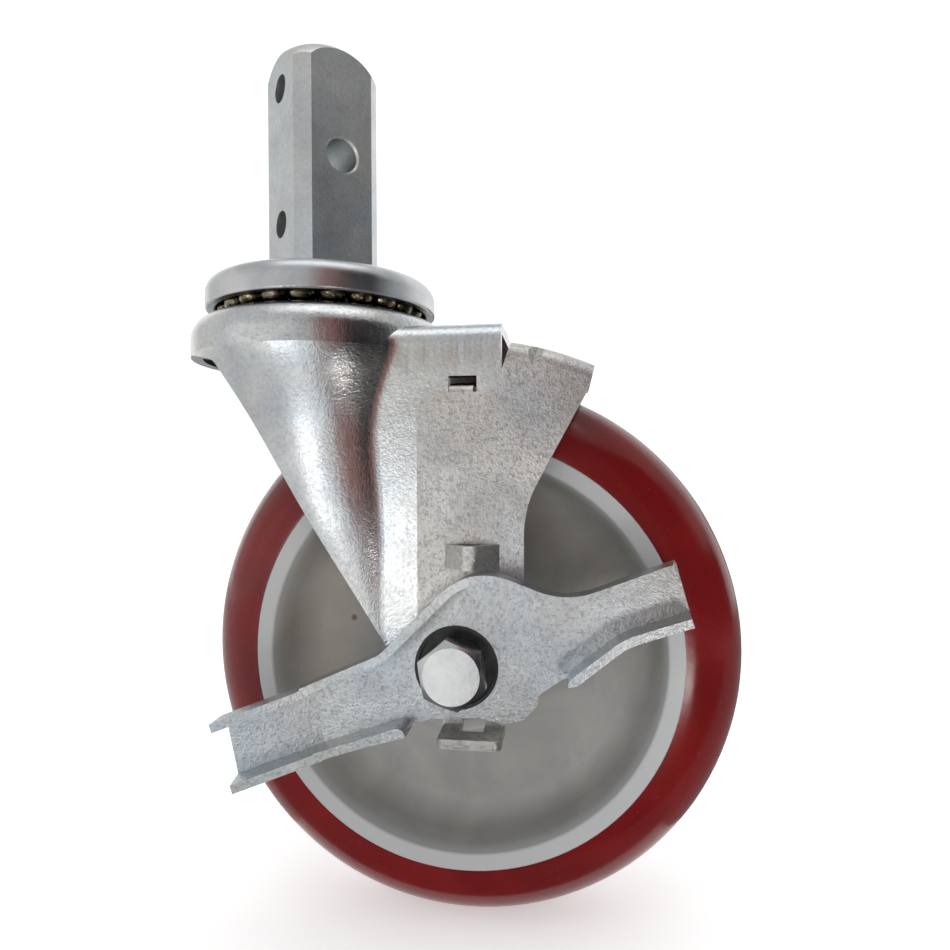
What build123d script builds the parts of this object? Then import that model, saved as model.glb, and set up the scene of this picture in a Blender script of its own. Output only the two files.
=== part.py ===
from build123d import *
import math
import os

os.makedirs("parts", exist_ok=True)

# Frame, in millimetres: the swivel axis is Z, the stem's shoulder is Z = 0 and the wheel
# trails towards +X. The brake is on the near side, -Y. "Out" below is a distance from the
# middle plane towards -Y.

# Wheel and where it sits
wheel_radius = 63.5
wheel_top_drop = 26.0
tread_width = 31.75
swivel_lead = 38.1
axle_z = -wheel_top_drop - wheel_radius
axle_at = (swivel_lead, 0, axle_z)
half_tread = tread_width / 2

# Square stem and its kingpin
stem_size = 22.225
stem_length = 57.15
stem_corner = 3.2
stem_foot_bevel = 0.7
stem_seat_depth = 0.4
stem_seat_gap = 0.05
dome_flat_radius = 3.0
dome_margin = 1.2
middle_hole_radius = 3.97
middle_hole_z = 28.9
middle_hole_bevel = 0.5
end_hole_radius = 3.25
end_hole_zs = (13.0, 46.0)
end_hole_bevel = 0.1
stem_turn = -45
kingpin_radius = 6.0
rivet_head_overlap = 2.8
rivet_head_height = 2.2
seat_clearance = 0.02

# Raceway cap and the two ball rows of the swivel
cap_radius = 28.25
cap_lip_gap = 2.2
cap_dish = 1.4
cap_dish_inner = 15.0
cap_round = 3.6
cap_thickness = 4.9
cap_skirt = 2.45
cap_lip_round = 0.5
race_clearance = 0.07
race_wall_gap = 0.225
upper_ball_radius = 3.175
upper_ball_gap = 0.02
cap_ball_sink = 0.475
crown_ball_sink = 0.275
lower_ball_radius = 2.38
lower_ball_gap = 0.2
lower_ball_sink = 0.45
lower_ball_wall_gap = 1.22
lower_race_thickness = 2.6
lower_race_wall = 2.0
lower_race_rise = 1.0

# Pressed fork
fork_sheet = 2.7
crown_overhang = 3.25
crown_round = 5.9
crown_depth = 9.7
kingpin_gap = 2.0
hood_step = 4.5
hood_round = 4.6
hood_reach = 9.3
hub_leg_gap = 1.1
horn_blend = 5.0
# Share of the height below the crown's rim, share of the crown's bulge, and where the nose
# is centred along the swivel lead
horn_levels = (
    (0.0, 1.0, 0.0),
    (0.141, 0.61, 0.066),
    (0.356, 0.36, 0.171),
    (0.594, 0.16, 0.315),
    (0.761, 0.06, 0.42),
    (1.0, 0.03, 0.446),
)
leg_boss_radius = 12.6
rim_end_inset = 6.0
rim_end_drop = 0.2
leg_corner_inset = 15.3
leg_corner_drop = 2.6
leg_corner_round = 3.0
leg_edge_round = 20.0

# Axle bolt, nut and spacers
bolt_radius = 4.0
bolt_overrun = 1.2
bolt_head_gap = 2.0
bolt_clearance = 0.05
bolt_head_flats = 13.0
bolt_head_height = 5.3
bolt_turn = 40
nut_height = 8.0
nut_collar = 2.4
washer_radius = 8.0
washer_thickness = 1.6
spacer_wall = 1.45
fork_bolt_gap = 0.2

# Wheel bearings
bearing_radius = 11.0
bearing_width = 7.0
bearing_ball_radius = 1.985
bearing_ball_offset = 0.25
bearing_ball_count = 7
ring_shoulder_gap = 0.95
ring_groove_clearance = 0.06
cage_gap = 0.3
shield_thickness = 0.35
shield_inset = 0.25
shield_gap = 0.25

# Wheel core and tyre
hub_overhang = 1.725
hub_wall = 5.5
hub_taper = 2.1
web_half = 4.5
tread_shoulder = 14.0
tyre_side_band = 0.4
rim_face_width = 3.7
rim_wall_slope = 4.2
bond_step = 2.7
bond_slope = 3.4
key_height = 2.4
key_half = 2.2

# Side brake: plate, shoe, tabs. U and V below are measured from the axle, along X and Z.
plate_sheet = 2.0
slide_gap = 0.3
shoe_gap = 5.0
shoe_edge_inset = 2.875
shoe_bend = 3.4
brake_on_gap = 0.9
shoe_left_u = 12.8
shoe_right_u = 30.0
dart_u = 17.3
dart_width = 2.8
dart_depth = 1.1
dart_run = 3.2
dart_rise = 4.6
plate_left_u = -8.8
plate_right_u = 14.3
plate_top_inset = 4.8
plate_corner_round = 4.6
plate_foot_round = 5.0
plate_foot_v = 7.0
waist_round = 24.0
waist_height = 33.8
hook_left_u = -1.7
hook_width = 5.2
hook_overhang = 1.7
hook_slot_rise = 3.8
hook_slot_gap = 0.5
tab_left_u = -3.2
tab_width = 13.3
tab_neck_drop = 4.5
shelf_drop = 12.7
shelf_reach = 9.2
shelf_edge_round = 0.5
shelf_bend = 1.8
shelf_window = (5.0, 6.2)
bridge_left_u = -2.7
bridge_width = 11.8
bridge_lift = 20.95
bridge_height = 5.1
bridge_rise = 4.9
bridge_sheet = 1.7

# Side brake: lever and its bush
lever_sheet = 1.8
lever_tip_turn = 12.0
lever_fold = ((-31.4, -7.5), (-29.7, -15.6))
lever_depth = 8.6
lever_bend = 3.2
lever_play = 0.05
lever_tip_slants = ((2.8, -1.2), (-2.0, -0.5))
lever_overrun = 12.0
bush_neck_wall = 0.7
bush_collar_width = 2.0
bush_pocket_wall = 0.65
bush_pocket_depth = 0.9
bush_front_inset = 0.2
head_collar_inset = 0.2

# Worked-out places
half_hub = half_tread + hub_overhang
leg_inner_out = half_hub + hub_leg_gap
leg_outer_out = leg_inner_out + fork_sheet
skirt_inner = cap_radius - cap_skirt
upper_ball_circle = skirt_inner - race_wall_gap - upper_ball_radius
upper_ball_z = -cap_thickness - upper_ball_radius + cap_ball_sink
crown_top_z = upper_ball_z - upper_ball_radius + crown_ball_sink
crown_radius = cap_radius + crown_overhang
crown_rim_z = crown_top_z - crown_depth
cap_low_z = crown_top_z + cap_lip_gap
kingpin_hole_radius = kingpin_radius + kingpin_gap
lower_ball_circle = kingpin_hole_radius + lower_ball_wall_gap + lower_ball_radius
hood_top_z = crown_top_z - hood_step
hood_end_x = swivel_lead + hood_reach
horn_low_z = axle_z - leg_boss_radius - 1.9
rim_end = (rim_end_inset - crown_radius, crown_rim_z - rim_end_drop)
leg_top_corner = (leg_corner_inset - crown_radius, crown_rim_z - leg_corner_drop)
rim_face_outer = wheel_radius - tread_shoulder - tyre_side_band
rim_face_inner = rim_face_outer - rim_face_width
rim_wall_foot = rim_face_inner - rim_wall_slope
bond_radius = rim_face_outer + bond_step
key_radius = bond_radius + key_height
hub_radius = bearing_radius + hub_wall
bearing_ball_circle = (bolt_radius + bearing_radius) / 2 + bearing_ball_offset
shoe_radius = wheel_radius + shoe_gap + plate_sheet
brake_drop = shoe_gap - brake_on_gap
plate_top_v = wheel_radius - plate_top_inset
plate_back_out = leg_outer_out + slide_gap
plate_face_out = plate_back_out + plate_sheet
lever_back_out = plate_face_out + slide_gap
web_face_out = lever_back_out + lever_sheet
bolt_head_out = web_face_out + bolt_head_gap
pocket_out = half_hub - bearing_width
bolt_length = bolt_head_out + leg_outer_out + washer_thickness + nut_height + bolt_overrun
head_collar_radius = bolt_head_flats / 2 - head_collar_inset
bush_neck_radius = head_collar_radius + bush_neck_wall
lever_hole_radius = bush_neck_radius + bush_collar_width

axle_plane = Plane(origin=axle_at, x_dir=(1, 0, 0), z_dir=(0, -1, 0))
axle_frame = Pos(*axle_at) * Rot(90, 0, 0)
axle_spot = Pos(swivel_lead, axle_z)


def save(node, *pieces):
    """Writes one node, as one solid or a group of separate solids."""
    solids = [solid for piece in pieces for solid in piece.solids()]
    export_step(Compound(solids) if len(solids) > 1 else solids[0], f"parts/{node}.step")


def turned(points, radii=0):
    """A body turned about Z from (radius, height) points, with rounded corners."""
    outline = FilletPolyline(*points, radius=radii, close=True) if radii else Polyline(*points, close=True)
    return revolve(Plane.XZ * make_face(outline), Axis.Z)


def tube(outer, inner, low, high):
    """A plain tube about Z between two heights."""
    return turned([(inner, low), (outer, low), (outer, high), (inner, high)])


def ring_groove(circle, height, radius):
    """The torus that a ball row rolls in, about Z."""
    return Pos(0, 0, height) * Torus(circle, radius)


def ball_row(count, circle, height, radius):
    """Balls evenly spaced about Z."""
    step = 360 / count
    return [Rot(0, 0, k * step) * Pos(circle, 0, height) * Sphere(radius) for k in range(count)]


def side_slab(face, inner_out, outer_out):
    """A flat outline in X and Z, made solid between two distances from the middle plane."""
    return extrude(Plane.XZ.offset(inner_out) * face, outer_out - inner_out)


def block(x0, x1, inner_out, outer_out, z0, z1):
    """A box between limits, with Y given as a distance out towards the near side."""
    return Pos((x0 + x1) / 2, -(inner_out + outer_out) / 2, (z0 + z1) / 2) * Box(
        x1 - x0, outer_out - inner_out, z1 - z0
    )


# Square stem: a square bar with bevelled corners, domed end and cross holes, and the
# kingpin that is riveted under the lower race.
def make_square_stem():
    bar = stem_prism(0, stem_length)
    half = stem_size / 2
    widest = math.hypot(half, half - stem_corner) + dome_margin
    dome_radius = widest - dome_flat_radius
    shoulder = stem_length - dome_radius
    crest = dome_radius * math.sqrt(0.5)
    foot = -stem_seat_depth
    dome = Polyline((0, stem_length), (0, foot), (widest, foot), (widest, shoulder))
    dome += ThreePointArc(
        (widest, shoulder), (dome_flat_radius + crest, shoulder + crest), (dome_flat_radius, stem_length)
    )
    dome += Line((dome_flat_radius, stem_length), (0, stem_length))
    bar &= revolve(Plane.XZ * make_face(dome), Axis.Z)
    bar = chamfer(bar.faces().sort_by(Axis.Z)[0].edges(), stem_foot_bevel)
    bar -= drilled(Pos(0, 0, middle_hole_z) * Rot(0, 90, 0), middle_hole_radius, middle_hole_bevel)
    for height in end_hole_zs:
        bar -= drilled(Pos(0, 0, height) * Rot(90, 0, 0), end_hole_radius, end_hole_bevel)
    pin = turned([
        (0, stem_foot_bevel),
        (kingpin_radius, stem_foot_bevel),
        (kingpin_radius, lower_race_floor_z),
        (kingpin_radius + rivet_head_overlap, lower_race_floor_z),
        (kingpin_radius + rivet_head_overlap - 1.2, lower_race_floor_z - rivet_head_height),
        (0, lower_race_floor_z - rivet_head_height),
    ])
    return Rot(0, 0, stem_turn) * bar + pin


def stem_prism(grown, high):
    """The stem's bevelled square section, from its foot up to a height."""
    size = stem_size + 2 * grown
    bar = Box(size, size, high + stem_seat_depth, align=(Align.CENTER, Align.CENTER, Align.MIN))
    return Pos(0, 0, -stem_seat_depth) * chamfer(bar.edges().filter_by(Axis.Z), stem_corner)


def drilled(place, radius, bevel):
    """A cross hole through the stem, bevelled at both mouths."""
    cut = Cylinder(radius, stem_size + 2)
    for turn in (0, 180):
        mouth = Cone(radius, radius + 2 * bevel, 2 * bevel)
        cut += Rot(0, turn, 0) * Pos(0, 0, stem_size / 2) * mouth
    return place * cut


# Swivel heights and counts that follow from the balls
upper_ball_count = int(math.pi / math.asin((upper_ball_radius + upper_ball_gap / 2) / upper_ball_circle))
lower_ball_count = int(math.pi / math.asin((lower_ball_radius + lower_ball_gap / 2) / lower_ball_circle))
upper_groove = upper_ball_radius + race_clearance
crown_floor_z = crown_top_z - fork_sheet
lower_ball_z = crown_floor_z - lower_ball_radius + lower_ball_sink
lower_groove = lower_ball_radius + race_clearance
lower_race_top_z = lower_ball_z - lower_ball_radius + lower_ball_sink
lower_race_floor_z = lower_race_top_z - lower_race_thickness


def make_raceway_cap():
    bore = kingpin_radius + seat_clearance
    points = [
        (bore, 0),
        (cap_dish_inner, 0),
        (cap_radius, -cap_dish),
        (cap_radius, cap_low_z),
        (skirt_inner, cap_low_z),
        (skirt_inner, -cap_thickness),
        (bore, -cap_thickness),
    ]
    radii = [0, 12, cap_round, cap_lip_round, cap_lip_round, 0.6, 0]
    cap = turned(points, radii) - ring_groove(upper_ball_circle, upper_ball_z, upper_groove)
    return cap - Rot(0, 0, stem_turn) * stem_prism(stem_seat_gap, 5)


def make_lower_race():
    bore = kingpin_radius + seat_clearance
    wall_inner = lower_ball_circle + lower_groove + 0.2
    wall_outer = wall_inner + lower_race_wall
    rim_z = crown_floor_z - lower_race_rise
    points = [
        (bore, lower_race_floor_z),
        (wall_outer, lower_race_floor_z),
        (wall_outer, rim_z),
        (wall_inner, rim_z),
        (wall_inner, lower_race_top_z),
        (bore, lower_race_top_z),
    ]
    race = turned(points, [0, 2.4, 0.5, 0.5, 0.4, 0])
    return race - ring_groove(lower_ball_circle, lower_ball_z, lower_groove)


# Fork: one pressing. The horn is round under the crown and runs down into two flat legs.
def horn_section(height, bulge, centre, inset):
    """One level of the horn: its nose stands out from the legs by a share of the crown's."""
    nose = leg_outer_out + bulge * (crown_radius - leg_outer_out) - inset
    flat = leg_outer_out - inset
    blend = horn_blend + inset
    foot = centre + math.sqrt((nose + blend) ** 2 - (flat + blend) ** 2)
    share = nose / (nose + blend)
    turn_x = centre + share * (foot - centre)
    turn_y = share * (flat + blend)
    angle = math.atan2(turn_y - flat - blend, turn_x - foot)
    middle = (angle - math.pi / 2) / 2
    bow_x = foot + blend * math.cos(middle)
    bow_y = flat + blend + blend * math.sin(middle)
    end = hood_end_x + 12
    path = Line((end, -flat), (foot, -flat))
    path += ThreePointArc((foot, -flat), (bow_x, -bow_y), (turn_x, -turn_y))
    path += ThreePointArc((turn_x, -turn_y), (centre - nose, 0), (turn_x, turn_y))
    path += ThreePointArc((turn_x, turn_y), (bow_x, bow_y), (foot, flat))
    path += Line((foot, flat), (end, flat))
    path += Line((end, flat), (end, -flat))
    return Plane.XY.offset(height) * make_face(path)


def horn(inset):
    """The horn's outer form, or its hollow when inset by the sheet."""
    depth = crown_rim_z - horn_low_z
    levels = [(hood_top_z - inset, 1.0, 0.0)]
    levels += [(crown_rim_z - drop * depth, bulge, lead * swivel_lead) for drop, bulge, lead in horn_levels]
    body = loft([horn_section(*level, inset) for level in levels])
    if inset:
        return body
    rolled = extrude(horn_section(horn_low_z - 20, 1.0, 0.0, 0), hood_top_z - horn_low_z + 20)
    return body & fillet(rolled.faces().sort_by(Axis.Z)[-1].edges(), hood_round)


def crown(inset):
    """The crown's outer form, or its hollow when inset by the sheet."""
    top = crown_top_z - inset
    side = crown_radius - inset
    low = crown_rim_z - (1.0 if inset else 0)
    outline = FilletPolyline(
        (0, top), (side, top), (side, low), (0, low), radius=[0, crown_round - inset, 0, 0], close=True
    )
    return revolve(Plane.XZ * make_face(outline), Axis.Z)


def make_fork():
    shell = horn(0) + crown(0)
    shell -= horn(fork_sheet)
    shell -= crown(fork_sheet)
    boss_x = swivel_lead + leg_boss_radius
    side = FilletPolyline(
        (-crown_radius - 4, 0),
        (-crown_radius - 4, crown_rim_z),
        rim_end,
        leg_top_corner,
        diagonal_foot(),
        (swivel_lead, axle_z),
        (boss_x, axle_z),
        (hood_end_x, axle_z + plate_top_v),
        (hood_end_x, 0),
        radius=[0, 0, 2.0, leg_corner_round, 0, 0, 0, leg_edge_round, 0],
        close=True,
    )
    outline = make_face(side) + Pos(swivel_lead, axle_z) * Circle(leg_boss_radius)
    shell &= side_slab(outline, -crown_radius - 5, crown_radius + 5)
    shell -= ring_groove(upper_ball_circle, upper_ball_z, upper_groove)
    shell -= ring_groove(lower_ball_circle, lower_ball_z, lower_groove)
    shell -= Cylinder(kingpin_hole_radius, 80)
    shell -= axle_frame * Cylinder(bolt_radius + fork_bolt_gap, 4 * leg_outer_out)
    plate_top_z = axle_z + plate_top_v
    slot_low = plate_top_z - plate_sheet - brake_drop - hook_slot_gap - slide_gap
    slot_left = swivel_lead + hook_left_u - hook_slot_gap
    slot_right = slot_left + hook_width + 2 * hook_slot_gap
    return shell - block(slot_left, slot_right, 0, crown_radius, slot_low, plate_top_z + hook_slot_rise)


def diagonal_foot():
    """Where the leg's sloping front edge meets the round end about the axle."""
    dx = leg_top_corner[0] - swivel_lead
    dz = leg_top_corner[1] - axle_z
    reach = math.hypot(dx, dz)
    angle = math.atan2(dz, dx) + math.acos(leg_boss_radius / reach)
    return (
        swivel_lead + leg_boss_radius * math.cos(angle),
        axle_z + leg_boss_radius * math.sin(angle),
    )


# Wheel: moulded core, bonded tyre and a ball bearing in each end of the hub.
def rim_path():
    """The joint between core and tyre, from the far face to the near face."""
    half = [
        (rim_face_outer, half_tread),
        (bond_radius, half_tread - bond_slope),
        (bond_radius, key_half + 1.2),
        (key_radius, key_half),
    ]
    return [(r, -s) for r, s in half] + [(r, s) for r, s in reversed(half)]


def make_wheel_core():
    near = [
        (bearing_radius - 1.5, pocket_out),
        (bearing_radius + seat_clearance, pocket_out),
        (bearing_radius + seat_clearance, half_hub),
        (hub_radius, half_hub),
        (hub_radius + hub_taper, web_half),
        (rim_wall_foot, web_half),
        (rim_face_inner, half_tread),
    ]
    near_radii = [0, 0, 0.5, 1.2, 5.0, 7.0, 0.7]
    rim = rim_path()
    rim_radii = [0.4, 0.8, 0.8, 0.8, 0.8, 0.8, 0.8, 0.4]
    points = near + rim[::-1] + [(r, -s) for r, s in reversed(near)]
    radii = near_radii + rim_radii + near_radii[::-1]
    return axle_frame * turned(points, radii)


def make_tyre():
    start = wheel_radius - tread_shoulder
    flat = half_tread - tread_shoulder
    bow = tread_shoulder * math.sqrt(0.5)
    path = Line((rim_face_outer, half_tread), (start, half_tread))
    path += ThreePointArc((start, half_tread), (start + bow, flat + bow), (wheel_radius, flat))
    path += Line((wheel_radius, flat), (wheel_radius, -flat))
    path += ThreePointArc((wheel_radius, -flat), (start + bow, -flat - bow), (start, -half_tread))
    path += Line((start, -half_tread), (rim_face_outer, -half_tread))
    inner = rim_path()
    path += FilletPolyline(*inner, radius=0.8)
    return axle_frame * revolve(Plane.XZ * make_face(path), Axis.Z)


def bearing_parts(middle):
    """Rings, balls, cage and shields of one bearing, centred at a distance along the axle."""
    half = bearing_width / 2
    inner_wall = bearing_ball_circle - ring_shoulder_gap
    outer_wall = bearing_ball_circle + ring_shoulder_gap
    groove = ring_groove(bearing_ball_circle, 0, bearing_ball_radius + ring_groove_clearance)
    bevel = 0.4
    inner_ring = turned(
        [(bolt_radius, -half), (inner_wall, -half), (inner_wall, half), (bolt_radius, half)],
        [bevel, 0.1, 0.1, bevel],
    )
    outer_ring = turned(
        [(outer_wall, -half), (bearing_radius, -half), (bearing_radius, half), (outer_wall, half)],
        [0.1, bevel, bevel, 0.1],
    )
    balls = ball_row(bearing_ball_count, bearing_ball_circle, 0, bearing_ball_radius)
    cage_half = half - shield_inset - shield_thickness - cage_gap
    cage_reach = ring_shoulder_gap - cage_gap
    cage = tube(bearing_ball_circle + cage_reach, bearing_ball_circle - cage_reach, -cage_half, cage_half)
    for k in range(bearing_ball_count):
        pocket = Rot(0, 90, 0) * Cylinder(bearing_ball_radius + 0.08, 3 * bearing_ball_radius)
        cage -= Rot(0, 0, 360 * k / bearing_ball_count) * Pos(bearing_ball_circle, 0, 0) * pocket
    shields = []
    for side in (-1, 1):
        face = side * (half - shield_inset - shield_thickness / 2)
        low = face - shield_thickness / 2
        shields.append(tube(outer_wall, inner_wall + shield_gap, low, low + shield_thickness))
    place = axle_frame * Pos(0, 0, middle)
    return {
        "inner_ring": [place * (inner_ring - groove)],
        "outer_ring": [place * (outer_ring - groove)],
        "balls": [place * ball for ball in balls],
        "cage": [place * cage],
        "shields": [place * shield for shield in shields],
    }


# Axle hardware
def hex_body(flats, low, high, turn):
    """A hexagon about Z between two heights, with the top corners turned off."""
    across = flats / math.sqrt(3)
    prism = extrude(Plane.XY.offset(low) * RegularPolygon(across, 6, rotation=turn), high - low)
    crown_cone = turned([
        (0, low),
        (across + 1, low),
        (across + 1, high - 1.6),
        (flats * 0.455, high),
        (0, high),
    ])
    return prism & crown_cone


def make_axle_bolt():
    head_low = bolt_head_out
    head = hex_body(bolt_head_flats, head_low, head_low + bolt_head_height, bolt_turn)
    shank = turned([
        (0, head_low + 1),
        (bolt_radius - bolt_clearance, head_low + 1),
        (bolt_radius - bolt_clearance, head_low - bolt_length + 0.8),
        (bolt_radius - bolt_clearance - 0.8, head_low - bolt_length),
        (0, head_low - bolt_length),
    ])
    return axle_frame * (head + shank)


def make_axle_nut():
    seat = -leg_outer_out - washer_thickness
    across = bolt_head_flats / math.sqrt(3)
    low = seat - nut_height + nut_collar
    prism = extrude(Plane.XY.offset(low) * RegularPolygon(across, 6), seat - low)
    corners = turned([
        (0, seat),
        (bolt_head_flats * 0.47, seat),
        (across + 1, seat - 1.4),
        (across + 1, low + 1.4),
        (bolt_head_flats * 0.47, low),
        (0, low),
    ])
    collar = turned(
        [(0, low + 1), (bolt_head_flats / 2 - 0.5, low + 1), (bolt_head_flats / 2 - 0.5, low - nut_collar),
         (0, low - nut_collar)],
        [0, 0, 1.0, 0],
    )
    nut = (prism & corners) + collar
    return axle_frame * (nut - Cylinder(bolt_radius, 3 * bolt_length))


def make_axle_washer():
    seat = -leg_outer_out
    washer = tube(washer_radius, bolt_radius + 0.2, seat - washer_thickness, seat)
    return axle_frame * washer


def spacer(low, high, outer):
    """A tube on the bolt, butted between its neighbours."""
    return axle_frame * tube(outer, bolt_radius + bolt_clearance, low, high)


# Brake plate: blade beside the leg, hook through the leg's slot, shoe folded over the tread,
# bridge above the lever's hub and shelf below it.
def plate_outline():
    tab_right = tab_left_u + tab_width
    shelf_low = -shelf_drop - plate_sheet
    points = [
        (plate_left_u, plate_top_v),
        (shoe_left_u - 4.6, plate_top_v),
        (shoe_left_u, shoe_radius + 2.3),
        (shoe_right_u + 1.5, shoe_radius + 2.3),
        (shoe_right_u - 1.8, plate_top_v + 0.8),
        (plate_right_u, waist_height),
        (plate_right_u, plate_foot_v),
        (tab_right, -tab_neck_drop),
        (tab_right, shelf_low),
        (tab_left_u, shelf_low),
        (tab_left_u, -tab_neck_drop),
        (plate_left_u, plate_foot_v - 2.0),
    ]
    foot = plate_foot_round
    radii = [plate_corner_round, 3.2, 0, 0, 0.8, waist_round, foot, foot, 0, 0, foot, foot]
    return make_face(FilletPolyline(*points, radius=radii, close=True))


def arc_edges(plate, radius, out):
    """The round edges about the axle with a radius, at a distance from the middle plane."""
    return [
        edge for edge in plate.edges().filter_by(GeomType.CIRCLE)
        if abs(edge.radius - radius) < 0.01 and abs(edge.center().Y + out) < 0.01
    ]


def make_brake_plate():
    shoe_inner = shoe_radius - plate_sheet
    outline = plate_outline() & Circle(shoe_radius)
    fold = outline - Circle(shoe_inner)
    plate = side_slab(axle_spot * outline, plate_back_out, plate_face_out)
    plate += side_slab(axle_spot * fold, shoe_edge_inset - half_tread, plate_back_out + 0.5)
    plate = fillet(arc_edges(plate, shoe_radius, plate_face_out), shoe_bend)
    plate = fillet(arc_edges(plate, shoe_inner, plate_back_out), shoe_bend - plate_sheet)
    return finish_brake_plate(plate - shoe_dart())


def shoe_dart():
    """The V pressed into the shoe's fold to stiffen it."""
    angle = math.asin(dart_u / shoe_radius)
    rise = Vector(math.sin(angle), 0, math.cos(angle))
    along = Vector(math.cos(angle), 0, -math.sin(angle))
    out = Vector(0, -1, 0)
    corner = Vector(*axle_at) + rise * shoe_radius + out * plate_face_out
    ridge = (out * dart_run - rise * dart_rise).normalized()
    middle = corner - (out * dart_run + rise * dart_rise) / 2
    wedge = Polyline((0, 0), (1.5 * dart_width, 3 * dart_depth), (-1.5 * dart_width, 3 * dart_depth), close=True)
    side = Plane(origin=middle, x_dir=along, z_dir=ridge)
    if side.y_dir.dot(corner - middle) < 0:
        side = Plane(origin=middle, x_dir=-along, z_dir=ridge)
    return extrude(side * make_face(wedge), dart_rise, both=True)


def finish_brake_plate(plate):
    """Adds the hook, bridge and shelf, and cuts the window and slot."""
    hook_top = axle_z + plate_top_v + plate_sheet - 0.4
    hook_left = swivel_lead + hook_left_u
    hook_right = hook_left + hook_width
    hook_in = leg_inner_out - hook_overhang
    hook = block(hook_left, hook_right, hook_in, plate_face_out, hook_top - plate_sheet, hook_top)
    bent = hook.edges().filter_by(Axis.X).sort_by(Axis.Y)[:2].sort_by(Axis.Z)[-1]
    hook = fillet(bent, plate_sheet - slide_gap)
    hook += block(hook_left, hook_right, plate_back_out, plate_face_out,
                  hook_top - plate_sheet - 1, hook_top - plate_sheet + slide_gap)
    plate += hook
    bridge_low = axle_z + bridge_lift
    inner_left = swivel_lead + bridge_left_u + bridge_sheet
    inner_right = inner_left + bridge_width - 2 * bridge_sheet
    plate -= block(inner_left, inner_right, 0, plate_face_out + 3, bridge_low, bridge_low + bridge_height)
    plate += make_bridge(bridge_low)
    shelf_top = axle_z - shelf_drop
    shelf_low = shelf_top - plate_sheet
    tab_left = swivel_lead + tab_left_u
    tab_right = tab_left + tab_width
    shelf_out = plate_face_out + shelf_reach
    shelf = block(tab_left, tab_right, plate_back_out, shelf_out, shelf_low, shelf_top)
    shelf = fillet(shelf.edges().filter_by(Axis.Z).sort_by(Axis.Y)[:2], 1.6)
    shelf = fillet(shelf.edges().filter_by(Axis.X).sort_by(Axis.Y)[-2:].sort_by(Axis.Z)[0], shelf_bend)
    shelf = fillet(shelf.faces().sort_by(Axis.Z)[-1].edges().filter_by(Axis.X).sort_by(Axis.Y)[0],
                   shelf_edge_round)
    plate -= block(tab_left - 1, tab_right + 1, plate_back_out - 1, plate_face_out + 1,
                   shelf_low - 1, shelf_low + shelf_bend + 0.1)
    plate += shelf
    window_x = (tab_left + tab_right) / 2
    window_w, window_d = shelf_window
    plate -= block(window_x - window_w / 2, window_x + window_w / 2, plate_back_out - 1,
                   plate_back_out + window_d, shelf_low - 1, shelf_top + 1.2)
    slot_half = bush_neck_radius + slide_gap
    slot = SlotCenterToCenter(brake_drop + 4 * slide_gap, 2 * slot_half, rotation=90)
    return plate - side_slab(axle_spot * Pos(0, brake_drop / 2) * slot, plate_back_out - 1, plate_face_out + 1)


def make_bridge(low):
    """The strap pressed out of the plate between two slits."""
    left = swivel_lead + bridge_left_u
    right = left + bridge_width
    middle = (left + right) / 2
    back = -plate_back_out
    face = -plate_face_out
    outer = FilletPolyline(
        (left, back), (left, face), (middle - 1.2, face - bridge_rise), (middle + 1.2, face - bridge_rise),
        (right, face), (right, back), radius=[0, 0, 1.6, 1.6, 0, 0], close=True,
    )
    inner = FilletPolyline(
        (left + bridge_sheet, back + 1), (left + bridge_sheet, face + 0.6),
        (middle - 0.7, face - bridge_rise + bridge_sheet), (middle + 0.7, face - bridge_rise + bridge_sheet),
        (right - bridge_sheet, face + 0.6), (right - bridge_sheet, back + 1),
        radius=[0, 0, 0.6, 0.6, 0, 0], close=True,
    )
    ribbon = make_face(outer) - make_face(inner)
    return extrude(Plane.XY.offset(low) * ribbon, bridge_height)


# Brake lever: a channel pressing whose hub is the cam between bridge and shelf. The points are
# measured from the axle, along X and Z.
lever_top = [(-50.4, -10.3), (-35.0, -4.9), (-15.0, 3.9), (3.9, 22.8), (23.2, 15.5), (45.3, 23.9)]
lever_top_rounds = [60, 8, 13, 16]
lever_right = [(48.7, 11.4), (35.3, 6.95), (25.4, -1.0)]
lever_right_round = 14
lever_cam = [(22.4, -1.7), (17.5, -5.2), (17.3, -7.4), (14.0, -10.8), (10.3, -11.6), (4.8, -10.6), (-6.0, -11.2)]
lever_cam_rounds = [0.8, 1.2, 2.2, 3.0, 4.0, 8.0, 1.5]
lever_left = [(-9.6, -12.9), (-18.0, -15.2), (-47.6, -25.3)]
lever_left_round = 60


def beyond(start, end, extra):
    """The point past end on the line from start."""
    run = math.dist(start, end)
    return tuple(e + (e - s) * extra / run for s, e in zip(start, end))


def corner_sweep(points, rounds, profile):
    """Sweeps a corner profile along the foot of a flange, on the lever's back face."""
    path = axle_plane.offset(lever_back_out) * FilletPolyline(*points, radius=rounds)
    start = path @ 0
    heading = path % 0
    across = Vector(0, -1, 0).cross(heading)
    section = Plane(origin=start, x_dir=across, z_dir=across.cross(Vector(0, -1, 0)))
    return sweep(section * profile(), path)


def outer_waste():
    """What is left outside a flange's outer bend."""
    bend = lever_bend
    edge = Line((-1, -1), (bend, -1))
    edge += Line((bend, -1), (bend, 0))
    share = bend * (1 - math.sqrt(0.5))
    edge += ThreePointArc((bend, 0), (share, share), (0, bend))
    edge += Line((0, bend), (-1, bend))
    edge += Line((-1, bend), (-1, -1))
    return make_face(edge)


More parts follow.
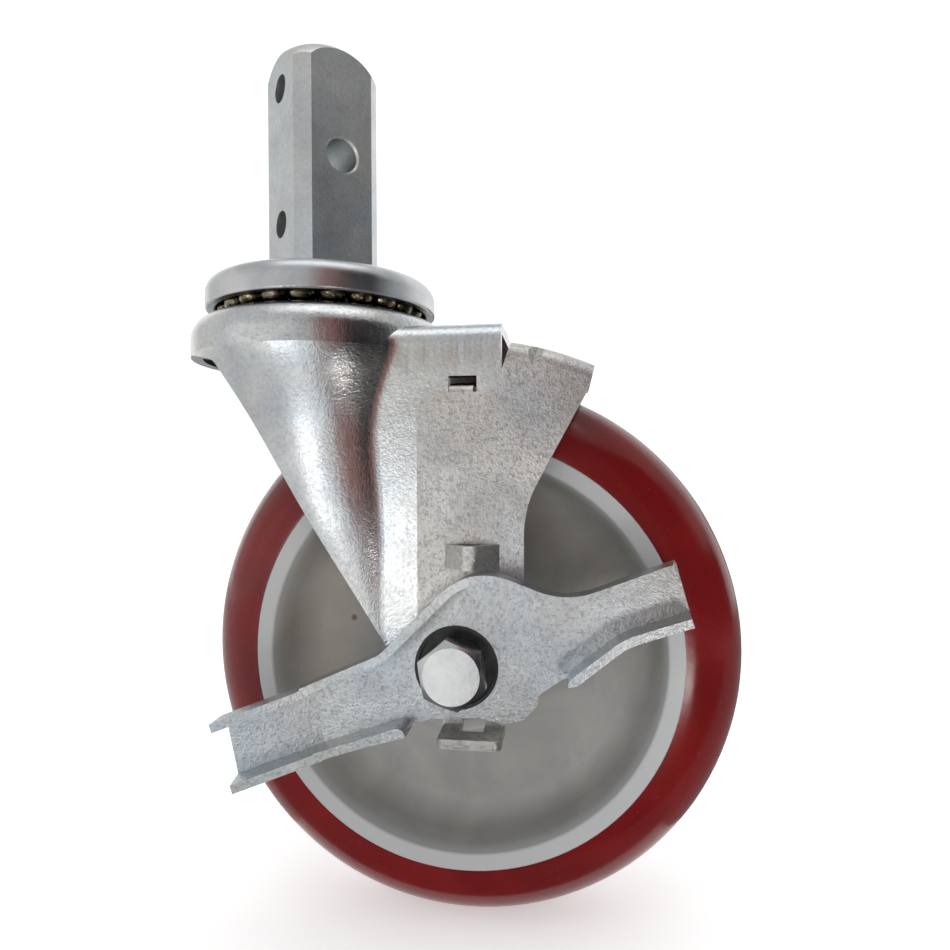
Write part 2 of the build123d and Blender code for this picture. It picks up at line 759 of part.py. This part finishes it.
def inner_fill():
    """What fills the corner inside a flange's bend."""
    low = lever_sheet
    bend = lever_bend - lever_sheet
    share = low + bend * (1 - math.sqrt(0.5))
    edge = Line((low - 0.3, low - 0.3), (low + bend, low - 0.3))
    edge += Line((low + bend, low - 0.3), (low + bend, low))
    edge += ThreePointArc((low + bend, low), (share, share), (low, low + bend))
    edge += Line((low, low + bend), (low - 0.3, low + bend))
    edge += Line((low - 0.3, low + bend), (low - 0.3, low - 0.3))
    return make_face(edge)


def make_brake_lever():
    over = lever_overrun
    top_path = [beyond(lever_top[1], lever_top[0], over), *lever_top[1:-1],
                beyond(lever_top[-2], lever_top[-1], over)]
    right_path = [beyond(lever_right[1], lever_right[0], over), *lever_right[1:]]
    left_path = [*lever_left[:-1], beyond(lever_left[-2], lever_left[-1], over)]
    outline = make_face(FilletPolyline(
        *top_path, *right_path, *lever_cam, *left_path, close=True,
        radius=[0, *lever_top_rounds, 0, 0, lever_right_round, 0.8, *lever_cam_rounds, 0.8, lever_left_round, 0],
    ))
    clear_v = lever_left[-1][1] - over
    channel = make_face(FilletPolyline(
        *top_path, *right_path,
        (lever_right[-1][0] + lever_sheet, clear_v), (lever_left[0][0] - lever_sheet, clear_v),
        (lever_left[0][0] - lever_sheet, lever_left[0][1]), *left_path[1:], close=True,
        radius=[0, *lever_top_rounds, 0, 0, lever_right_round, 0, 0, 0, 0, lever_left_round, 0],
    ))
    body = extrude(axle_plane.offset(lever_back_out) * outline, lever_depth)
    lever = body - extrude(axle_plane.offset(web_face_out) * offset(channel, -lever_sheet), lever_depth)
    for points, rounds in ((top_path, lever_top_rounds), (right_path, [lever_right_round]),
                           (left_path, [lever_left_round])):
        lever += corner_sweep(points, rounds, inner_fill) & body
        lever -= corner_sweep(points, rounds, outer_waste)
    lever -= tip_waste(lever_top[1], lever_top[0], lever_left[-1], *lever_tip_slants[0])
    lever -= tip_waste(lever_top[-2], lever_top[-1], lever_right[0], *lever_tip_slants[1])
    lever -= axle_frame * Cylinder(lever_hole_radius, 4 * lever_back_out)
    return fold_tip(lever)


def tip_waste(wing, top, low, top_slant, low_slant):
    """What lies beyond a wing's sheared end, which slants between web and flange edges."""
    run = math.dist(wing, top)
    ahead = ((top[0] - wing[0]) / run, (top[1] - wing[1]) / run)
    high_end = beyond(low, top, lever_overrun / 2)
    low_end = beyond(top, low, lever_overrun / 2)
    faces = []
    for share, out in ((0, lever_back_out), (1, lever_back_out + lever_depth)):
        ends = []
        for point, slant in ((high_end, top_slant * share), (low_end, low_slant * share)):
            near = (point[0] + ahead[0] * slant, point[1] + ahead[1] * slant)
            far = (point[0] + ahead[0] * 2 * lever_overrun, point[1] + ahead[1] * 2 * lever_overrun)
            ends += [near, far] if not ends else [far, near]
        faces.append(axle_plane.offset(out) * make_face(Polyline(*ends, close=True)))
    return loft(faces, ruled=True)


def fold_tip(lever):
    """Folds the end of the long wing away from the wheel."""
    (u0, v0), (u1, v1) = lever_fold
    start = (swivel_lead + u0, -lever_back_out, axle_z + v0)
    run = (u1 - u0, 0, v1 - v0)
    side = Plane(origin=start, x_dir=run, z_dir=(v0 - v1, 0, u1 - u0))
    hub = lever.split(side, keep=Keep.TOP)
    tip = lever.split(side, keep=Keep.BOTTOM)
    return hub + tip.rotate(Axis(start, run), -lever_tip_turn)


def make_lever_bush():
    collar = lever_hole_radius - lever_play
    front = web_face_out - bush_front_inset
    bore = head_collar_radius + seat_clearance
    return axle_frame * turned([
        (bore, leg_outer_out),
        (bush_neck_radius, leg_outer_out),
        (bush_neck_radius, lever_back_out),
        (collar, lever_back_out),
        (collar, front),
        (collar - bush_pocket_wall, front),
        (collar - bush_pocket_wall, front - bush_pocket_depth),
        (bore, front - bush_pocket_depth),
    ])


save("square_stem", make_square_stem())
save("raceway_cap", make_raceway_cap())
save("upper_balls", *ball_row(upper_ball_count, upper_ball_circle, upper_ball_z, upper_ball_radius))
save("lower_balls", *ball_row(lower_ball_count, lower_ball_circle, lower_ball_z, lower_ball_radius))
save("lower_race", make_lower_race())
save("fork", make_fork())
save("wheel_core", make_wheel_core())
save("tyre", make_tyre())
for side, sign in (("near", 1), ("far", -1)):
    for piece, solids in bearing_parts(sign * (half_hub - bearing_width / 2)).items():
        save(f"{side}_bearing_{piece}", *solids)
save("axle_bolt", make_axle_bolt())
save("axle_nut", make_axle_nut())
save("axle_washer", make_axle_washer())
save("centre_spacer", spacer(-pocket_out, pocket_out, bolt_radius + spacer_wall))
save("near_end_spacer", spacer(half_hub, leg_inner_out, bolt_radius + spacer_wall + 0.5))
save("far_end_spacer", spacer(-leg_inner_out, -half_hub, bolt_radius + spacer_wall + 0.5))
save("head_collar", spacer(leg_outer_out, bolt_head_out, head_collar_radius))
save("lever_bush", make_lever_bush())
save("brake_plate", make_brake_plate())
save("brake_lever", make_brake_lever())
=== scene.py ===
import math

import bpy
from mathutils import Matrix, Vector

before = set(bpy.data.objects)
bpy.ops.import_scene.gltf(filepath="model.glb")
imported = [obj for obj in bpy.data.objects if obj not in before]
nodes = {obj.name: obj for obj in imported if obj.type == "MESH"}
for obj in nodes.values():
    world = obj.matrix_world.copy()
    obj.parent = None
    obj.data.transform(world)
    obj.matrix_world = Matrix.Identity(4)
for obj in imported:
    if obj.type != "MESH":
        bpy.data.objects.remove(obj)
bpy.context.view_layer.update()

# Places and sizes are in metres, in the frame's own axes
AXLE = Vector((0.0381, 0.0, -0.0895))
WHEEL_RADIUS = 0.0635
FLOOR_Z = AXLE.z - WHEEL_RADIUS
MIDDLE = (0.02, 0.0, -0.06)

# The photograph's camera: angles in radians, and its lens in pixels of the picture
CAMERA_PLACE = (0.061718, -0.169663, -0.048744)
YAW, PITCH, ROLL = -0.132, -0.013, -0.004
PICTURE, FOCAL, CENTRE_X, CENTRE_Y = 950, 688.7, 476.6, 484.6
SENSOR_WIDTH = 36.0

# The floor runs back to a curved foot and then up a wall
FLOOR_FRONT, FLOOR_BACK, FLOOR_SIDE = -3.0, 1.2, 4.0
FOOT_RADIUS, FOOT_STEPS, WALL_TOP = 0.9, 20, 3.2

X, Y, Z = 0, 1, 2
FADE = ((0.35, 0.0), (0.7, 1.0))


class Graph:
    """One material's node tree. An input given as a socket is linked, and any other is set."""

    def __init__(self, name):
        self.material = bpy.data.materials.new(name)
        self.material.use_nodes = True
        self.tree = self.material.node_tree
        self.shader = self.tree.nodes["Principled BSDF"]
        self.here = self.add("ShaderNodeTexCoord").outputs["Object"]

    def add(self, kind, settings=(), **inputs):
        node = self.tree.nodes.new(kind)
        for key, value in dict(settings).items():
            setattr(node, key, value)
        for key, value in inputs.items():
            self.feed(node.inputs[key.replace("_", " ")], value)
        return node

    def feed(self, socket, value):
        if isinstance(value, bpy.types.NodeSocket):
            self.tree.links.new(value, socket)
        else:
            socket.default_value = value

    def surface(self, **inputs):
        for key, value in inputs.items():
            self.feed(self.shader.inputs[key.replace("_", " ")], value)
        return self.material

    def at(self, scale=(1, 1, 1), move=(0, 0, 0)):
        """The place on the object, moved and stretched."""
        return self.add("ShaderNodeMapping", Vector=self.here, Scale=scale, Location=move).outputs[0]

    def noise(self, size, detail=4.0, rough=0.55, where=None, bend=0.0):
        """Cloudy noise whose features are about size metres across."""
        return self.add(
            "ShaderNodeTexNoise", Vector=where or self.here, Scale=1 / size,
            Detail=detail, Roughness=rough, Distortion=bend,
        ).outputs["Fac"]

    def ramp(self, value, *stops):
        """Stops are (position, grey or colour)."""
        node = self.add("ShaderNodeValToRGB", Fac=value)
        line = node.color_ramp.elements
        while len(line) < len(stops):
            line.new(0.5)
        for element, (place, tone) in zip(line, stops):
            element.position = place
            element.color = (*tone, 1) if isinstance(tone, tuple) else (tone, tone, tone, 1)
        return node.outputs["Color"]

    def mix(self, share, a, b):
        """Colour a where the share is 0, and colour b where it is 1."""
        node = self.add("ShaderNodeMix", {"data_type": "RGBA"})
        a, b = ((*tone, 1) if isinstance(tone, tuple) else tone for tone in (a, b))
        for socket, value in zip((node.inputs[0], node.inputs[6], node.inputs[7]), (share, a, b)):
            self.feed(socket, value)
        return node.outputs[2]

    def math(self, kind, a, b=0.0):
        node = self.add("ShaderNodeMath", {"operation": kind})
        for socket, value in zip(node.inputs, (a, b)):
            self.feed(socket, value)
        return node.outputs[0]

    def times(self, first, *others):
        for other in others:
            first = self.math("MULTIPLY", first, other)
        return first

    def plus(self, a, b):
        return self.math("ADD", a, b)

    def parts(self):
        """The X, Y and Z of the place on the object."""
        return self.add("ShaderNodeSeparateXYZ", Vector=self.here).outputs

    def radius(self, middle, axes):
        """Distance from a point, along the two given axes only."""
        steps = [self.math("SUBTRACT", self.parts()[axis], middle[axis]) for axis in axes]
        return self.math("SQRT", self.plus(*(self.times(step, step) for step in steps)))

    def between(self, value, low, high, soft):
        """1 where a value lies between two limits, with soft edges."""
        up = self.add("ShaderNodeMapRange", {"interpolation_type": "SMOOTHSTEP"}, Value=value)
        up.inputs["From Min"].default_value = low - soft
        up.inputs["From Max"].default_value = low + soft
        down = self.add("ShaderNodeMapRange", {"interpolation_type": "SMOOTHSTEP"}, Value=value)
        down.inputs["From Min"].default_value = high + soft
        down.inputs["From Max"].default_value = high - soft
        return self.times(up.outputs[0], down.outputs[0])

    def bump(self, height, depth, strength, under=None):
        node = self.add("ShaderNodeBump", Height=height, Distance=depth, Strength=strength)
        if under:
            self.feed(node.inputs["Normal"], under)
        return node.outputs[0]


def zinc(name, light=(0.70, 0.71, 0.71), dark=(0.50, 0.52, 0.54), warm=0.25, grain=0.5, rough=0.3,
         grease_and_shade=None, darker_band=None, drawn=None):
    """Bright zinc plate: cloudy tone, grain, specks, faint tarnish and pits; in given regions also a
    darker, warmer streaked band, and grease painted near-black as shade.

    grease_and_shade and darker_band are functions that mask a region, and drawn is a stretch for drawing
    lines.
    """
    g = Graph(name)
    cloud = g.noise(0.013, 3, 0.6, bend=0.6)
    fine = g.noise(0.00045, 2, 0.7)
    speck = g.noise(0.0009, 3, 0.75)
    tone = g.mix(g.ramp(cloud, (0.3, 0.0), (0.7, 1.0)), dark, light)
    tint = g.ramp(g.noise(0.021, 2, 0.5, where=g.at(move=(0.3, 0.1, 0.2))), (0.42, 0.0), (0.68, warm))
    tone = g.mix(tint, tone, (0.74, 0.68, 0.56))
    cool = g.ramp(g.noise(0.017, 2, 0.5, where=g.at(move=(-0.2, 0.4, 0.1))), (0.48, 0.0), (0.72, 0.5))
    tone = g.mix(cool, tone, (0.56, 0.64, 0.70))
    tone = g.mix(g.ramp(speck, (0.47, 0.0), (0.70, 0.60 * grain)), tone, (0.30, 0.31, 0.32))
    pits = g.ramp(g.noise(0.0021, 2, 0.6, where=g.at(move=(0.7, 0.2, 0.4))), (0.73, 0.0), (0.80, 0.7))
    tone = g.mix(pits, tone, (0.22, 0.20, 0.19))
    roughness = g.plus(g.times(g.noise(0.006, 4, 0.6), 0.22), rough - 0.11)
    roughness = g.plus(roughness, g.times(fine, 0.12 * grain))
    skin = g.bump(fine, 0.00005, 0.8 * grain)
    skin = g.bump(speck, 0.00009, 0.7 * grain, skin)
    skin = g.bump(g.noise(0.008, 2, 0.5), 0.00025, 0.25, skin)
    if drawn:
        lines = g.noise(0.0006, 2, 0.5, where=g.at(scale=drawn))
        skin = g.bump(lines, 0.00003, 0.35, skin)
    # A darker, warmer streaked band over the given region
    if darker_band:
        mask, toward = darker_band(g)
        streak = g.ramp(g.noise(0.0011, 3, 0.6, where=g.at(scale=(1, 1, 0.06))), (0.35, 0.0), (0.62, 1.0))
        tone = g.mix(g.times(mask, streak, 0.75), tone, toward)
        skin = g.bump(streak, 0.00004, 0.25, skin)
    # Grease in the swivel's gap, painted near-black brown as the gap's shade too
    if grease_and_shade:
        mask = grease_and_shade(g)
        tone = g.mix(mask, tone, (0.05, 0.035, 0.015))
        roughness = g.math("SUBTRACT", roughness, g.times(mask, 0.12))
    return g.surface(Base_Color=tone, Metallic=1.0, Roughness=roughness, Normal=skin)


def steel(name, colour, rough):
    """Ground steel with fine turning lines."""
    g = Graph(name)
    rings = g.noise(0.0005, 2, 0.5)
    tone = g.mix(g.ramp(g.noise(0.004), *FADE), colour, tuple(0.6 * c for c in colour))
    return g.surface(
        Base_Color=tone, Metallic=1.0,
        Roughness=g.plus(g.times(rings, 0.15), rough),
        Normal=g.bump(rings, 0.00002, 0.4),
    )


def polyurethane():
    """Glossy cast polyurethane, deep red, with faint clouding, dust and scuffs on the tread."""
    g = Graph("red_polyurethane")
    cloud = g.noise(0.02, 3, 0.5, bend=0.4)
    tone = g.mix(g.ramp(cloud, *FADE), (0.125, 0.0035, 0.0040), (0.170, 0.0060, 0.0065))
    across = g.math("ABSOLUTE", g.parts()[Y])
    tread = g.between(across, -0.01, 0.0065, 0.002)
    scuff = g.ramp(g.noise(0.0032, 4, 0.7), (0.55, 0.0), (0.8, 1.0))
    tone = g.mix(g.times(tread, scuff, 0.35), tone, (0.20, 0.12, 0.11))
    dust = g.ramp(g.noise(0.0007, 2, 0.6), (0.66, 0.0), (0.80, 0.35))
    tone = g.mix(dust, tone, (0.30, 0.09, 0.08))
    roughness = g.plus(g.times(g.noise(0.009, 4, 0.6), 0.16), 0.12)
    roughness = g.plus(roughness, g.times(tread, 0.10))
    skin = g.bump(g.noise(0.0055, 2, 0.5), 0.00018, 0.35)
    skin = g.bump(g.noise(0.0006, 2, 0.6), 0.00001, 0.3, skin)
    return g.surface(
        Base_Color=tone, Roughness=roughness, Normal=skin, IOR=1.42, Coat_Weight=0.05, Coat_Roughness=0.06,
    )


def grey_plastic():
    """Moulded grey core: satin; brownish dust with painted shade in the upper dish, painted light on the
    rim ring and the dish's left, painted shade at its lower left, and two rusty specks beside the hub.
    """
    g = Graph("grey_core_plastic")
    out = g.radius(AXLE, (X, Z))
    cloud = g.noise(0.018, 4, 0.6, bend=0.8)
    tone = g.mix(g.ramp(cloud, (0.35, 0.0), (0.68, 1.0)), (0.270, 0.262, 0.250), (0.340, 0.332, 0.318))
    # Painted light: the rim ring lighter than the dish
    rim = g.between(out, 0.0447, 0.060, 0.0006)
    tone = g.mix(rim, tone, (0.400, 0.405, 0.410))
    dish = g.between(out, 0.024, 0.0425, 0.006)
    # The upper dish, darker and browner: brownish dust and painted shade under the rim
    upper = g.between(g.parts()[Z], AXLE.z + 0.004, 0.02, 0.018)
    dust_and_shade = g.ramp(g.noise(0.012, 5, 0.65), (0.3, 0.2), (0.7, 1.0))
    tone = g.mix(g.times(dish, upper, dust_and_shade, 0.5), tone, (0.215, 0.172, 0.120))
    # Painted light: the dish lighter and warmer on its left side
    left = g.between(g.parts()[X], -0.06, 0.008, 0.014)
    tone = g.mix(g.times(dish, left, 0.55), tone, (0.56, 0.50, 0.42))
    # Painted shade: the dish darker grey at its lower left
    low = g.between(g.parts()[Z], AXLE.z - 0.05, AXLE.z - 0.016, 0.010)
    tone = g.mix(g.times(dish, low, left, 0.8), tone, (0.185, 0.180, 0.182))
    grime = g.ramp(g.noise(0.0016, 3, 0.7), (0.68, 0.0), (0.78, 0.6))
    tone = g.mix(grime, tone, (0.16, 0.14, 0.12))
    for x, z, size in ((0.0090, -0.0838, 0.0007), (0.0127, -0.0831, 0.0004)):
        spot = g.between(g.radius((x, 0, z), (X, Z)), -1, size, 0.0004)
        tone = g.mix(g.times(spot, 0.9), tone, (0.14, 0.055, 0.025))
    swirl = g.noise(0.0009, 3, 0.6, where=g.at(scale=(1, 0.2, 1)))
    skin = g.bump(swirl, 0.00003, 0.35)
    skin = g.bump(g.noise(0.011, 2, 0.5), 0.0002, 0.3, skin)
    roughness = g.plus(g.times(g.noise(0.007, 4, 0.6), 0.2), 0.33)
    return g.surface(Base_Color=tone, Roughness=roughness, Normal=skin)


def black_nylon():
    """Moulded black nylon with a fine tooth; its near-black also stands in as painted shade for a deeper
    recess round the bolt head.
    """
    g = Graph("black_nylon")
    fine = g.noise(0.0006, 3, 0.6)
    worn = g.ramp(g.noise(0.003), (0.4, 0.0), (0.7, 1.0))
    return g.surface(
        Base_Color=g.mix(worn, (0.010, 0.010, 0.011), (0.028, 0.027, 0.027)),
        Roughness=g.plus(g.times(fine, 0.2), 0.35),
        Normal=g.bump(fine, 0.00003, 0.5),
    )


def greased_steel():
    """Balls in amber grease: polished steel with brown film."""
    g = Graph("greased_balls")
    film = g.ramp(g.noise(0.0016, 4, 0.65), (0.42, 0.0), (0.58, 1.0))
    tone = g.mix(film, (0.30, 0.27, 0.20), (0.060, 0.040, 0.015))
    return g.surface(
        Base_Color=tone, Metallic=1.0,
        Roughness=g.plus(g.times(film, 0.22), 0.12),
        Normal=g.bump(g.noise(0.0008), 0.00005, 0.4),
    )


def in_raceway(g):
    """Inside the swivel's gap, where grease has gathered; its near-black brown is also painted shade in
    the gap.
    """
    out = g.radius((0, 0, 0), (X, Y))
    height = g.parts()[Z]
    upper_row = g.times(g.between(out, -1, 0.0258, 0.0003), g.between(height, -0.0118, -0.0044, 0.0002))
    lower_row = g.times(g.between(out, -1, 0.0195, 0.001), g.between(height, -0.024, -0.0128, 0.0003))
    patch = g.ramp(g.noise(0.0035, 4, 0.6), (0.3, 0.75), (0.6, 1.0))
    return g.times(g.math("MAXIMUM", upper_row, lower_row), patch)


def under_roll(g):
    """A darker, warmer streaked band just below the hood's roll, and the tone it is darkened to."""
    across = g.between(g.parts()[X], 0.016, 0.046, 0.004)
    down = g.between(g.parts()[Z], -0.0245, -0.0195, 0.0022)
    return g.times(across, down), (0.46, 0.41, 0.35)


MATERIALS = {
    "square_stem": zinc(
        "zinc_stem", light=(0.68, 0.71, 0.72), dark=(0.52, 0.54, 0.55), rough=0.38, drawn=(1, 1, 0.03),
    ),
    "raceway_cap": zinc("zinc_cap", grain=0.25, grease_and_shade=in_raceway),
    "fork": zinc(
        "zinc_fork", light=(0.74, 0.75, 0.75), grain=0.7, rough=0.19, grease_and_shade=in_raceway, darker_band=under_roll,
    ),
    "brake_plate": zinc(
        "zinc_plate", light=(0.70, 0.69, 0.67), dark=(0.48, 0.47, 0.46), grain=1.4, rough=0.33,
    ),
    "brake_lever": zinc(
        "zinc_lever", light=(0.61, 0.64, 0.66), dark=(0.44, 0.48, 0.51), grain=1.3, rough=0.27,
    ),
    "axle_bolt": zinc("zinc_bolt", grain=0.25, rough=0.22),
    "axle_nut": zinc("zinc_nut", grain=0.25, rough=0.25),
    "axle_washer": zinc("zinc_washer", grain=0.3),
    "head_collar": zinc("zinc_collar", grain=0.3),
    "lower_race": steel("hardened_race", (0.40, 0.40, 0.41), 0.25),
    "tyre": polyurethane(),
    "wheel_core": grey_plastic(),
    "lever_bush": black_nylon(),
    "upper_balls": greased_steel(),
    "lower_balls": greased_steel(),
}
BEARING_STEEL = steel("bearing_steel", (0.55, 0.55, 0.56), 0.16)

for name, part in nodes.items():
    look = MATERIALS.get(name, BEARING_STEEL)
    for slot in part.material_slots:
        slot.material = look


def plain(name, colour, glow=0.0):
    """A studio surface, nearly even in tone."""
    g = Graph(name)
    cloud = g.ramp(g.noise(0.9, 2), (0.3, 0.0), (0.7, 1.0))
    shade = g.mix(cloud, colour, tuple(0.98 * c for c in colour))
    return g.surface(Base_Color=shade, Roughness=0.9, Emission_Color=(1, 1, 1, 1), Emission_Strength=glow)


def place_in_scene(name, data, matrix=None):
    thing = bpy.data.objects.new(name, data)
    if matrix:
        thing.matrix_world = matrix
    bpy.context.scene.collection.objects.link(thing)
    return thing


def add_sweep():
    """A pale floor that curves up into a pale wall far behind the object."""
    profile = [(FLOOR_FRONT, 0.0), (FLOOR_BACK, 0.0)]
    for step in range(1, FOOT_STEPS + 1):
        a = step * math.pi / 2 / FOOT_STEPS
        profile.append((FLOOR_BACK + FOOT_RADIUS * math.sin(a), FOOT_RADIUS - FOOT_RADIUS * math.cos(a)))
    profile.append((FLOOR_BACK + FOOT_RADIUS, WALL_TOP))
    points = [(x, y, FLOOR_Z + z) for y, z in profile for x in (-FLOOR_SIDE, FLOOR_SIDE)]
    faces = [(2 * k, 2 * k + 1, 2 * k + 3, 2 * k + 2) for k in range(len(profile) - 1)]
    mesh = bpy.data.meshes.new("studio_floor")
    mesh.from_pydata(points, [], faces)
    mesh.polygons.foreach_set("use_smooth", [True] * len(faces))
    mesh.materials.append(plain("studio_white", (0.93, 0.93, 0.93), glow=0.42))
    place_in_scene("studio_floor", mesh)


def facing(place, target):
    """A matrix at place whose -Z looks at target."""
    look = (Vector(place) - Vector(target)).normalized()
    return Matrix.Translation(place) @ look.to_track_quat("Z", "Y").to_matrix().to_4x4()


def around(azimuth, distance, height):
    """A place round the object: azimuth 0 is in front of the brake's side, and + is to the right."""
    a = math.radians(azimuth)
    return Vector((MIDDLE[X] + distance * math.sin(a), -distance * math.cos(a), height))


def add_card(name, place, width, height, colour, flat=False):
    """A card that only reflections see. It stands facing the object, or lies flat."""
    mesh = bpy.data.meshes.new(name)
    corners = [(sx * width / 2, sy * height / 2, 0) for sx, sy in ((-1, -1), (1, -1), (1, 1), (-1, 1))]
    mesh.from_pydata(corners, [], [(0, 1, 2, 3)])
    mesh.materials.append(plain(name, colour))
    matrix = Matrix.Translation(place) if flat else facing(place, (MIDDLE[X], MIDDLE[Y], place.z))
    card = place_in_scene(name, mesh, matrix)
    card.visible_camera = card.visible_shadow = card.visible_diffuse = False


def add_light(name, place, width, height, power, colour=(1, 1, 1)):
    """A soft rectangular light that looks at the object's middle."""
    light = bpy.data.lights.new(name, "AREA")
    light.shape = "RECTANGLE"
    light.size, light.size_y = width, height
    light.energy = power
    light.color = colour
    place_in_scene(name, light, facing(place, MIDDLE))


def add_world():
    """Even white light from all round."""
    world = bpy.data.worlds.new("studio")
    bpy.context.scene.world = world
    world.use_nodes = True
    background = world.node_tree.nodes["Background"]
    background.inputs["Color"].default_value = (1.0, 1.0, 1.0, 1)
    background.inputs["Strength"].default_value = 0.60


def add_camera():
    """The photograph's camera: close, a little left-looking, level with the fork."""
    forward = Vector((math.sin(YAW) * math.cos(PITCH), math.cos(YAW) * math.cos(PITCH), math.sin(PITCH)))
    level = Vector((math.cos(YAW), -math.sin(YAW), 0))
    rise = level.cross(forward)
    right = math.cos(ROLL) * level + math.sin(ROLL) * rise
    up = -math.sin(ROLL) * level + math.cos(ROLL) * rise
    lens = bpy.data.cameras.new("photo_camera")
    lens.sensor_width = SENSOR_WIDTH
    lens.lens = FOCAL / PICTURE * SENSOR_WIDTH
    lens.shift_x = (PICTURE / 2 - CENTRE_X) / PICTURE
    lens.shift_y = (CENTRE_Y - PICTURE / 2) / PICTURE
    lens.clip_start = 0.005
    lens.clip_end = 20
    turn = Matrix((right, up, -forward)).transposed().to_4x4()
    camera = place_in_scene("photo_camera", lens, Matrix.Translation(CAMERA_PLACE) @ turn)
    bpy.context.scene.camera = camera


add_sweep()
add_world()

# Cards on the floor, one just above the other where they cross
add_card("floor_left", Vector((-0.62, 0.0, FLOOR_Z + 0.001)), 1.20, 1.60, (0.84, 0.84, 0.84), flat=True)
add_card("floor_right", Vector((0.50, -0.10, FLOOR_Z + 0.001)), 0.80, 1.40, (0.34, 0.34, 0.35), flat=True)
add_card("floor_near", Vector((0.04, -0.065, FLOOR_Z + 0.0015)), 0.20, 0.10, (0.30, 0.29, 0.29), flat=True)
add_card("flag_floor", around(42, 0.235, FLOOR_Z + 0.002), 0.30, 0.27, (0.014, 0.016, 0.020), flat=True)

# Standing cards, that give the bright metal its dark and warm bands
add_card("flag_right", around(49, 0.50, 0.13), 0.54, 0.58, (0.006, 0.008, 0.014))
add_card("flag_side", around(88, 0.70, -0.03), 0.60, 0.25, (0.020, 0.022, 0.026))
add_card("grey_high", around(72, 0.58, 0.20), 0.30, 0.26, (0.20, 0.21, 0.20))
add_card("warm_card", around(20, 0.46, 0.14), 0.20, 0.58, (0.25, 0.115, 0.096))
add_card("back_card", around(180, 0.60, -0.06), 0.90, 0.20, (0.12, 0.12, 0.12))

# Two small windows low in front, and large soft lights
add_light("window_left", around(-18, 0.45, -0.128), 0.12, 0.11, 0.13, (0.98, 1.0, 1.0))
add_light("window_right", around(30, 0.20, -0.140), 0.05, 0.02, 0.045, (1.0, 0.98, 0.96))
add_light("front_left", around(-42, 1.00, 0.02), 0.9, 0.4, 0.26, (1.0, 1.0, 0.97))
add_light("left", around(-75, 1.40, 0.30), 1.6, 1.4, 0.9, (0.92, 0.97, 1.0))
add_light("top", around(10, 0.20, 0.92), 0.9, 0.6, 1.6)

add_camera()
bpy.context.scene.view_settings.view_transform = "Standard"
